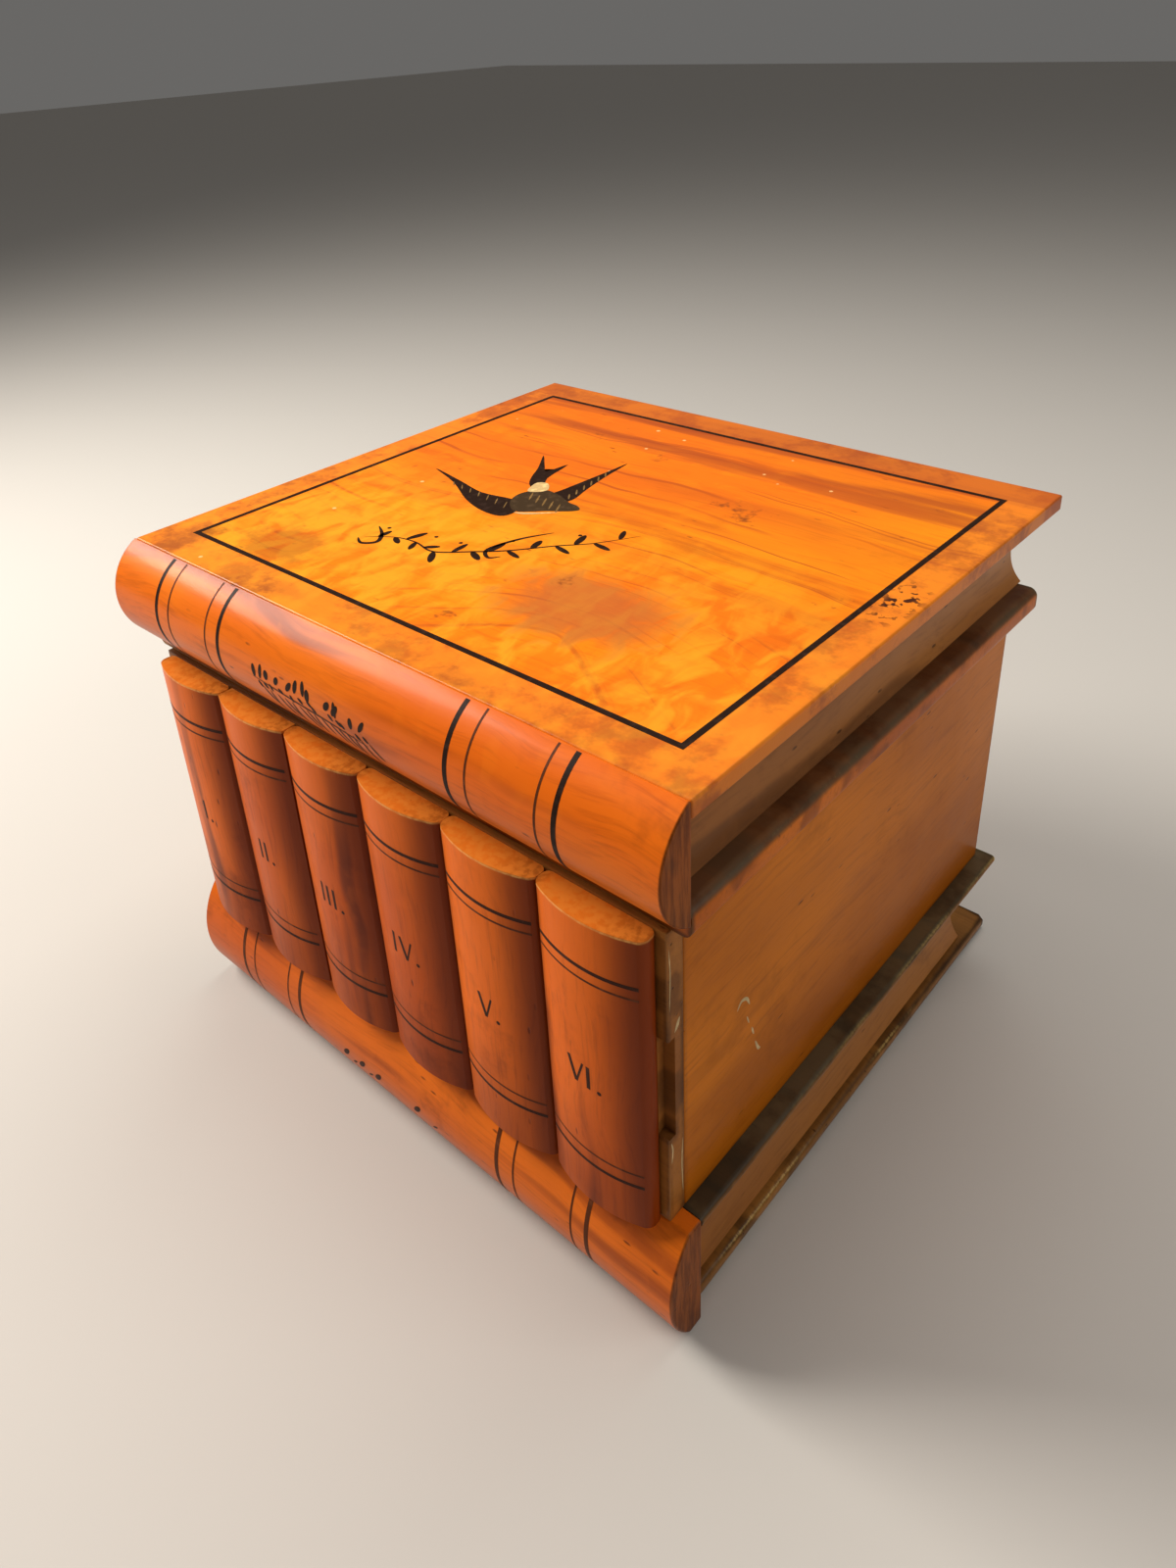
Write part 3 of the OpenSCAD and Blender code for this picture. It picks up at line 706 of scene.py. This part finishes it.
def add_bird(ink, cream, feather, dun):
    """A small swallow in flight, painted on the lid."""
    wings = Decor(lid_surface())
    wings.shape([(-55, 3), (-44, -1), (-33, -7), (-25, -9.6), (-19, -9.4), (-17.6, -6), (-20, -2),
                 (-24, -0.4), (-33, -1.6), (-43, 0.6)])
    wings.shape([(-15.8, 34), (-14.6, 24), (-13, 15), (-11.4, 7.5), (-14, 4), (-18, 6), (-17.6, 12),
                 (-17, 19), (-16.4, 26)])
    wings.shape([(-38, 26), (-33, 18.6), (-30, 13), (-27, 9), (-23, 7), (-22.6, 10), (-26, 14.5),
                 (-28, 24.6), (-29.4, 18), (-32, 20)], steps=3)
    wings.finish("bird_wings", ink, "lid")
    body = Decor(lid_surface(PAINT_LIFT * 1.25))
    body.shape([(-24.5, 4), (-21, 8.4), (-16, 8), (-11, 6), (-8, 5.6), (-6, 4), (-8, 1.6), (-12, -1),
                (-17, -5), (-20, -4.6), (-23.6, -1)])
    body.finish("bird_body", feather, "lid")
    belly = Decor(lid_surface(PAINT_LIFT * 1.5))
    belly.shape([(-17.8, -6), (-14, -3.6), (-10, -0.6), (-8.6, 0.6), (-11, -2), (-15, -5.4)], steps=3)
    belly.shape([(-26, 11), (-23.4, 12), (-20.6, 9), (-21.6, 6.6), (-24, 5.4), (-25.4, 7.6)], steps=3)
    belly.finish("bird_belly", cream, "lid")
    lines = Decor(lid_surface(PAINT_LIFT * 1.6))
    for k in range(7):
        start = -44 + 3.4 * k
        lines.stroke([(start, -0.8 - 0.25 * k), (start + 2.0, -2.6 - 0.5 * k)], 0.32)
    for k in range(6):
        lines.stroke([(-16.4 + 0.4 * k, 26 - 3.2 * k), (-14.4 + 0.4 * k, 23.4 - 3.2 * k)], 0.45)
    for k in range(5):
        lines.stroke([(-22.4 + 2.6 * k, 5.6 - 0.4 * k), (-20 + 2.6 * k, 1.6 - 0.5 * k)], 0.5)
    lines.finish("bird_feathers", dun, "lid")


def add_flourish(ink):
    """A pen flourish of leaves and curls below the bird; it spells nothing."""
    pen = Decor(lid_surface())
    stem = smooth_path([(-36, -36), (-30, -32), (-24, -31), (-17, -32), (-10, -27), (-4, -22), (3, -14),
                        (9, -8), (15, 1)], 4)
    pen.stroke(stem, 0.6, steps=2)
    rng = random.Random(4)
    for i in range(2, len(stem) - 1, 2):
        point = stem[i]
        ahead = stem[i + 1] - stem[i - 1]
        turn = math.atan2(ahead.y, ahead.x)
        side = 1 if i % 4 else -1
        length = 3.4 + 2.2 * rng.random()
        lean = turn + side * (0.9 + 0.3 * rng.random())
        pen.leaf(point.x, point.y, lean, length, 1.3 + 0.5 * rng.random())
        if i % 6 == 2:
            tip = point + Vector((math.cos(turn + 1.3), math.sin(turn + 1.3))) * 5
            pen.dot(tip.x, tip.y, 0.5)
    pen.stroke([(-38, -30), (-34, -32.5), (-31.5, -36), (-34, -38.5), (-37, -37)], 1.1)
    pen.stroke([(-2, -9), (-6, -16), (-8, -24), (-5, -27), (-3, -25)], 1.0)
    pen.finish("lid_flourish", ink, "lid")


# Painted rings on the spines: the x and the width of each, in millimetres
BOLD_RINGS = ((-61.6, 1.1), (-37.4, 1.1), (32.8, 1.1), (58.4, 1.1))
FINE_RINGS = ((-56.8, 0.5), (-42.2, 0.5), (37.8, 0.5), (54.2, 0.5))
# The heights from the axis between which the rings are drawn
LID_RING_ENDS = (-12.2, 12.3)
BASE_RING_ENDS = (-15.3, 15.3)


def add_rings(place, surface, ends, body, dark, faded):
    """A spine's bold and fine rings."""
    low, high = ends
    for tag, group, material in (("dark", BOLD_RINGS, dark), ("faint", FINE_RINGS, faded)):
        rings = Decor(surface)
        for x, width in group:
            steps = [(x, low + (high - low) * k / 10) for k in range(11)]
            rings.stroke(steps, width, taper=False, steps=4)
        rings.finish(place + "_spine_rings_" + tag, material, body)


def add_spine_paint(ink, brown, faded):
    """Rings on both spines, a sprig on the lid's and worn leaves on the base's."""
    lid = spine_surface(LID_SPINE_AXIS, LID_SPINE_R)
    base = spine_surface(BASE_SPINE_AXIS, BASE_SPINE_R)
    add_rings("lid", lid, LID_RING_ENDS, "lid", ink, faded)
    add_rings("base", base, BASE_RING_ENDS, "case", faded, faded)
    leaves = Decor(spine_surface(LID_SPINE_AXIS, LID_SPINE_R, PAINT_LIFT * 1.5))
    twigs = Decor(lid)
    add_sprig(leaves, twigs, -25, 11, -1.8)
    leaves.finish("lid_spine_leaves", ink, "lid")
    twigs.finish("lid_spine_twigs", faded, "lid")
    marks = Decor(base)
    for x in (-21, -15, -9, 5):
        marks.leaf(x, -4.5, 0.9, 4.2, 1.5)
    for x in (-18, -12, 11):
        marks.leaf(x, -5.5, 0.7, 2.6, 0.7)
    marks.finish("base_spine_leaves", brown, "case")


def add_sprig(bold, fine, left, right, level):
    """A branch along u: short thick leaves above and long thin twigs below."""
    rng = random.Random(11)
    length = right - left
    for k in range(16):
        if k in (4, 9, 13):
            continue
        x = left + length * (k + 0.6 * rng.random()) / 16
        rise = level + 0.6 + math.sin(math.pi * k / 15) + 0.8 * rng.random()
        lean = 0.9 + 0.8 * rng.random()
        bold.leaf(x, rise, lean, 2.2 + 1.6 * rng.random(), 1.0 + 0.5 * rng.random())
        bold.leaf(x + 1.0, rise - 0.6, -0.4 - 0.7 * rng.random(), 1.8, 0.8)
    for k in range(15):
        x = left + 3 + length * k / 15
        fine.leaf(x, level - 0.6, -0.7 - 0.5 * rng.random(), 4.0 + 2.6 * rng.random(), 0.75)
    fine.stroke([(left, level + 1), (left + length * 0.4, level), (left + length * 0.7, level - 0.6),
                 (right, level - 1.6)], 0.55)


def right_surface(node):
    """A node's right end: u is y and v is the height, in millimetres."""
    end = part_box(node)[1][0] + PAINT_LIFT
    return lambda u, v: (end, u * MM, v * MM)


def add_scratches(pale):
    """Pale scratches on the right side panel and a chipped edge on the front board's end."""
    marks = Decor(right_surface("case_right"))
    marks.stroke([(-48, 68.5), (-46.6, 70), (-44.8, 69.2), (-43.8, 67)], 0.8)
    marks.stroke([(-44.6, 64.4), (-43.8, 62)], 0.4)
    marks.stroke([(-42.8, 60), (-42, 57.4)], 0.5)
    marks.stroke([(-41.4, 55), (-40.2, 52), (-39.4, 51.6)], 0.7)
    marks.finish("side_scratches", pale, "case", "case_wood")
    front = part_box("case_front")[0][1] / MM
    chips = Decor(right_surface("case_front"))
    chips.shape([(front + 1.8, 79.8), (front + 2.5, 81.9), (front + 3.4, 82.6), (front + 3.0, 80.8)],
                steps=2)
    chips.stroke([(front + 0.5, 100), (front + 0.8, 94), (front + 0.5, 86)], 0.25)
    chips.stroke([(front + 0.5, 52.6), (front + 0.9, 50.4), (front + 0.6, 47)], 0.4)
    chips.stroke([(front + 3.9, 51), (front + 3.6, 44), (front + 3.9, 36)], 0.3)
    chips.finish("front_chips", pale, "case", "case_wood")


# Each book is this wide with its gaps, and its face stands proud of its corners by the bulge
BOOK_PITCH = 24.5 * MM
BOOK_BULGE = 2.7 * MM
NUMERALS = ("I", "II", "III", "IV", "V", "VI")
NUMERAL_Z = 65.8
GLYPH_H = 5.6
# How far each letter moves the next one on, and how wide a V is
STEP_I = 2.2
STEP_V = 4.8
V_WIDTH = 3.6


def add_numeral(decor, word):
    """A Roman numeral with a full stop, in the middle of a book."""
    x = -sum(STEP_I if letter == "I" else STEP_V for letter in word) / 2 - 0.8
    top = NUMERAL_Z + GLYPH_H / 2
    foot = NUMERAL_Z - GLYPH_H / 2
    for letter in word:
        if letter == "I":
            decor.stroke([(x, foot), (x, top)], 0.85, taper=False, steps=2)
            x += STEP_I
        else:
            middle = x + V_WIDTH / 2
            decor.stroke([(x, top), (middle, foot)], 0.9, taper=False, steps=2)
            decor.stroke([(middle, foot), (x + V_WIDTH, top)], 0.5, taper=False, steps=2)
            x += STEP_V
    decor.dot(x + 0.2, foot + 0.4, 0.5)


def add_books(ink, faded):
    """Standing books with painted lines near the top and bottom and a numeral in the middle."""
    half = BOOK_PITCH / 2
    radius = (half * half + BOOK_BULGE * BOOK_BULGE) / (2 * BOOK_BULGE)
    materials = [book_material("book_%d" % (k + 1), 3.1 + 0.37 * k) for k in range(6)]
    for k, material in enumerate(materials):
        node = "book_%d" % (k + 1)
        low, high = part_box(node)
        body = body_of_node(node)
        softened(node, material, 0.45 * MM, special=(2, 1.4 * MM))
        surface = book_surface((low[0] + high[0]) / 2, low[1] + radius, radius)
        edge = (high[0] - low[0]) / 2 / MM - 1.0
        top = high[2] / MM
        bottom = low[2] / MM
        dark = Decor(surface)
        for v in (top - 10.6, bottom + 11.4):
            dark.stroke([(-edge, v), (0, v), (edge, v)], 0.85, taper=False, steps=10)
        add_numeral(dark, NUMERALS[k])
        dark.finish(node + "_paint", ink, body)
        faint = Decor(surface)
        for v in (top - 13.2, bottom + 14.6):
            faint.stroke([(-edge, v), (0, v), (edge, v)], 0.5, taper=False, steps=10)
        faint.finish(node + "_fine_lines", faded, body)


# ---------------------------------------------------------------- stage

# Each light's place, size, power in watts and colour
LIGHTS = {"key": ((-0.58, -0.27, 0.56), 0.34, 8.0, (1.0, 0.95, 0.88)),
          "top": ((-0.05, 0.20, 0.80), 0.50, 2.6, (1.0, 0.96, 0.90)),
          "fill": ((0.85, 0.24, 0.50), 0.60, 2.6, (1.0, 0.97, 0.93))}
LIT_POINT = Vector((0, 0, 0.07))
SKY_COLOUR = (1.0, 0.97, 0.93, 1)
SKY_STRENGTH = 0.14
FLOOR_COLOUR = (0.60, 0.57, 0.53)
FLOOR_HALF_SIZE = 4


def add_light(name, place, size, power, colour):
    """A soft square light aimed at the middle of the box."""
    data = bpy.data.lights.new(name, "AREA")
    data.size = size
    data.energy = power
    data.color = colour
    light = bpy.data.objects.new(name, data)
    light.location = place
    light.rotation_euler = (LIT_POINT - Vector(place)).to_track_quat("-Z", "Y").to_euler()
    bpy.context.scene.collection.objects.link(light)


def add_stage():
    """The pale floor, the faint sky and the studio lights."""
    mesh = bpy.data.meshes.new("floor")
    b = bmesh.new()
    bmesh.ops.create_grid(b, x_segments=1, y_segments=1, size=FLOOR_HALF_SIZE)
    b.to_mesh(mesh)
    b.free()
    mesh.materials.append(Nodes("floor_paper").finish(FLOOR_COLOUR, 0.8))
    floor = bpy.data.objects.new("floor", mesh)
    bpy.context.scene.collection.objects.link(floor)
    world = bpy.data.worlds.new("world")
    world.use_nodes = True
    sky = world.node_tree.nodes["Background"]
    sky.inputs["Color"].default_value = SKY_COLOUR
    sky.inputs["Strength"].default_value = SKY_STRENGTH
    bpy.context.scene.world = world
    bpy.context.scene.view_settings.view_transform = "Standard"
    for name, settings in LIGHTS.items():
        add_light(name, *settings)


# ---------------------------------------------------------------- build

# Page blocks: node, direction of the page lines and seed
PAGES = (("lid_pages_left", "y", 12.1), ("lid_pages_right", "y", 13.1), ("base_pages_left", "y", 14.1),
         ("drawer_front", "y", 15.1), ("lid_pages_back", "x", 17.1), ("base_pages_back", "x", 18.1))
# Cover boards: node, rounding of the long edges, tones, height of the dark top (soot and a painted dark
# reflection), and seed
BOARDS = (("lid_lower_board", 2.2 * MM, RIM_TONES, 1.5 * MM, 9.4),
          ("base_upper_board", 1.1 * MM, LEDGE_TONES, 0.5 * MM, 10.4),
          ("base_lower_board", 1.4 * MM, LEDGE_TONES, None, 11.4))
BARE_NODES = ("case_floor", "drawer_runners", "drawer_stop_peg", "drawer_tray", "book_pegs")
CLOTH_NODES = ("floor_lining", "lid_lining")
BRASS_NODES = ("lock_case", "lock_cap", "lock_screws", "escutcheon", "hinge_case_leaves",
               "hinge_case_screws", "hinge_lid_leaves", "hinge_lid_screws", "strike_plate", "strike_screws")
STEEL_NODES = ("key", "lock_pin", "lock_bolt", "lock_spring", "hinge_pins")


def add_lid_and_spines():
    """The lid's top board and the rounded spines of the two lying books."""
    softened("lid_top_board", top_material(), 0.5 * MM, box_edges_only=True)
    # The spines' dark feet are painted shade on their downward halves
    wooden("lid_spine", SPINE_TONES, 0.5 * MM, seed=1.1, dirt=0.55, line=0.75,
           foot=(TOP_Z - 12 * MM, TOP_Z - 27 * MM), end_grain=SPINE[1][0])
    wooden("base_spine", BASE_TONES, 0.5 * MM, seed=2.3, dirt=0.85, foot=(16 * MM, 0.0),
           end_grain=BASE_SPINE[1][0])


def add_case():
    """The four walls of the case; the front one is behind the standing books."""
    for node, seed in (("case_left", 5.2), ("case_right", 6.2)):
        wooden(node, SIDE_TONES, 0.4 * MM, grain="y", seed=seed, box=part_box(node), wear=0.4, line=0.25,
               figure=0.3, foot=(62 * MM, 30 * MM))
    wooden("case_back", SIDE_TONES, 0.3 * MM, box_edges_only=True, seed=7.7, box=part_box("case_back"),
           wear=0.4, line=0.3)
    wooden("case_front", PAGE_TONES, 0.3 * MM, box_edges_only=True, seed=8.3, box=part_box("case_front"),
           wear=0.6)


def add_boards_and_pages():
    """The lying books' other cover boards, and the blocks carved as their pages."""
    for node, edge, tones, dark_top_depth, seed in BOARDS:
        grimy_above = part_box(node)[1][2] - dark_top_depth if dark_top_depth else None
        wooden(node, tones, 0.6 * MM, box_edges_only=True, special=(1, edge), seed=seed, box=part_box(node),
               grimy_above=grimy_above, wear=0.85, dirt=0.6, rub=WORN_AND_LIT_EDGE)
    for node, grain, seed in PAGES:
        wooden(node, PAGE_TONES, 0.25 * MM, grain=grain, seed=seed, wear=0.6, dirt=0.7, coat=0.6,
               rough=0.34)


def main():
    add_camera()
    add_stage()
    ink = paint_material("ink", (0.020, 0.008, 0.004))
    faded = paint_material("faded_ink", (0.10, 0.026, 0.007))
    brown = paint_material("brown_ink", (0.045, 0.013, 0.005))
    cream = paint_material("cream_paint", (0.62, 0.42, 0.18))
    feather = paint_material("feather_paint", (0.05, 0.028, 0.012))
    dun = paint_material("dun_paint", (0.20, 0.11, 0.035))
    scratch = paint_material("scratch_pale", (0.52, 0.38, 0.20), rough=0.7)

    add_lid_and_spines()
    add_books(brown, faded)
    add_case()
    add_boards_and_pages()
    bare = wood_material("bare_wood", *BARE_TONES, seed=21.0, coat=0.0, rough=0.6, dirt=0.3)
    coat_nodes(BARE_NODES, bare)
    coat_nodes(CLOTH_NODES, cloth_material("red_lining", (0.30, 0.05, 0.035), (0.13, 0.02, 0.015)))
    coat_nodes(BRASS_NODES, metal_material("old_brass", (0.60, 0.43, 0.17), (0.28, 0.17, 0.07), 0.34))
    coat_nodes(STEEL_NODES, metal_material("old_steel", (0.42, 0.40, 0.38), (0.16, 0.12, 0.09), 0.38))
    coat_nodes(("lid_stringing",), ink)
    add_bird(ink, cream, feather, dun)
    add_flourish(ink)
    add_scratches(scratch)
    add_spine_paint(ink, brown, faded)


main()
